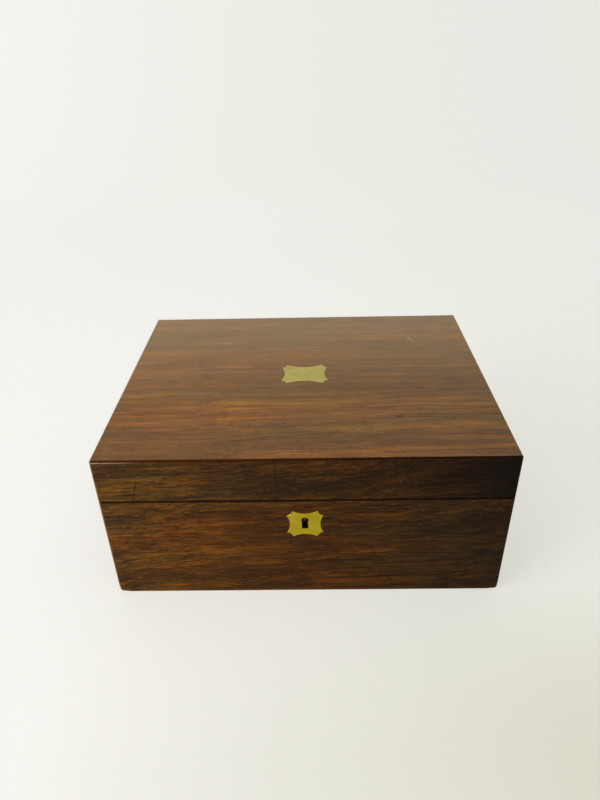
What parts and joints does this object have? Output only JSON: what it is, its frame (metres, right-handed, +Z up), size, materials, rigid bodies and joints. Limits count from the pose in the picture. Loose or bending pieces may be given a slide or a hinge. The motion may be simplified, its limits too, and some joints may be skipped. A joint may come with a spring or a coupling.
{
  "type": "fitted travel box",
  "caption": "Veneered lidded box with flush brass plate and escutcheon, box lock, butt hinges, lined well and a lift-out divided tray.",
  "frame": {"origin": "middle of the underside, on the surface that the box stands on", "axes": "+X to the viewer's right along the width, +Y towards the hinges, +Z up"},
  "size_m": [0.305, 0.2426, 0.1323],
  "materials": {
    "veneer": "French polish",
    "carcase_wood": "oiled",
    "lining_wood": "waxed",
    "knob_wood": "polished",
    "inlay_brass": "aged",
    "hinge_brass": "aged",
    "lock_brass": "satin",
    "screw_brass": "satin",
    "lock_steel": "filed",
    "velvet": "velvet",
    "silk": "ribbed silk",
    "baize": "felted wool"
  },
  "bodies": {
    "base": {"base_back_board": "carcase_wood", "base_back_veneer": "veneer", "base_baize": "baize", "base_front_board": "carcase_wood", "base_front_veneer": "veneer", "base_left_board": "carcase_wood", "base_left_veneer": "veneer", "base_right_board": "carcase_wood", "base_right_veneer": "veneer", "base_screws": "screw_brass", "bottom_board": "carcase_wood", "escutcheon": "inlay_brass", "hinge_left_lower_leaf": "hinge_brass", "hinge_pins": "hinge_brass", "hinge_right_lower_leaf": "hinge_brass", "lining_back": "lining_wood", "lining_front": "lining_wood", "lining_left": "lining_wood", "lining_right": "lining_wood", "lock_case": "lock_brass", "lock_drill_pin": "lock_steel", "lock_guide_studs": "lock_steel", "lock_plate": "lock_brass", "lock_spring": "lock_steel", "tray_ledge_left": "lining_wood", "tray_ledge_right": "lining_wood", "well_floor_pad": "velvet"},
    "lid": {"hinge_left_upper_leaf": "hinge_brass", "hinge_right_upper_leaf": "hinge_brass", "lid_back_board": "carcase_wood", "lid_back_veneer": "veneer", "lid_border": "silk", "lid_front_board": "carcase_wood", "lid_front_veneer": "veneer", "lid_left_board": "carcase_wood", "lid_left_veneer": "veneer", "lid_pad": "velvet", "lid_pad_buttons": "velvet", "lid_plate": "inlay_brass", "lid_right_board": "carcase_wood", "lid_right_veneer": "veneer", "lid_screws": "screw_brass", "lid_top_board": "carcase_wood", "lid_top_veneer": "veneer", "link_plate": "lock_brass"},
    "bolt": {"lock_bolt": "lock_steel"},
    "tray": {"tray_back_wall": "lining_wood", "tray_bottom": "lining_wood", "tray_cross_dividers": "lining_wood", "tray_floor_pads": "velvet", "tray_front_wall": "lining_wood", "tray_left_wall": "lining_wood", "tray_long_divider": "lining_wood", "tray_right_wall": "lining_wood", "ring_roll": "velvet", "cover_rests": "lining_wood"},
    "left_cover": {"cover_left": "lining_wood", "cover_left_knob": "knob_wood"},
    "right_cover": {"cover_right": "lining_wood", "cover_right_knob": "knob_wood"}
  },
  "joints": [
    {"name": "lid_hinge", "type": "hinge", "parent": "base", "child": "lid", "pos_m": [0, 0.1188, 0.09485], "axis": [-1, 0, 0], "range_deg": [0, 100]},
    {"name": "bolt_slide", "type": "slide", "parent": "base", "child": "bolt", "axis": [1, 0, 0], "range_m": [0, 0.0045]},
    {"name": "tray_lift", "type": "slide", "parent": "base", "child": "tray", "axis": [0, 0, 1], "range_m": [0, 0.007]},
    {"name": "left_cover_lift", "type": "slide", "parent": "tray", "child": "left_cover", "axis": [0, 0, 1], "range_m": [0, 0.0045]},
    {"name": "right_cover_lift", "type": "slide", "parent": "tray", "child": "right_cover", "axis": [0, 0, 1], "range_m": [0, 0.0045]}
  ]
}
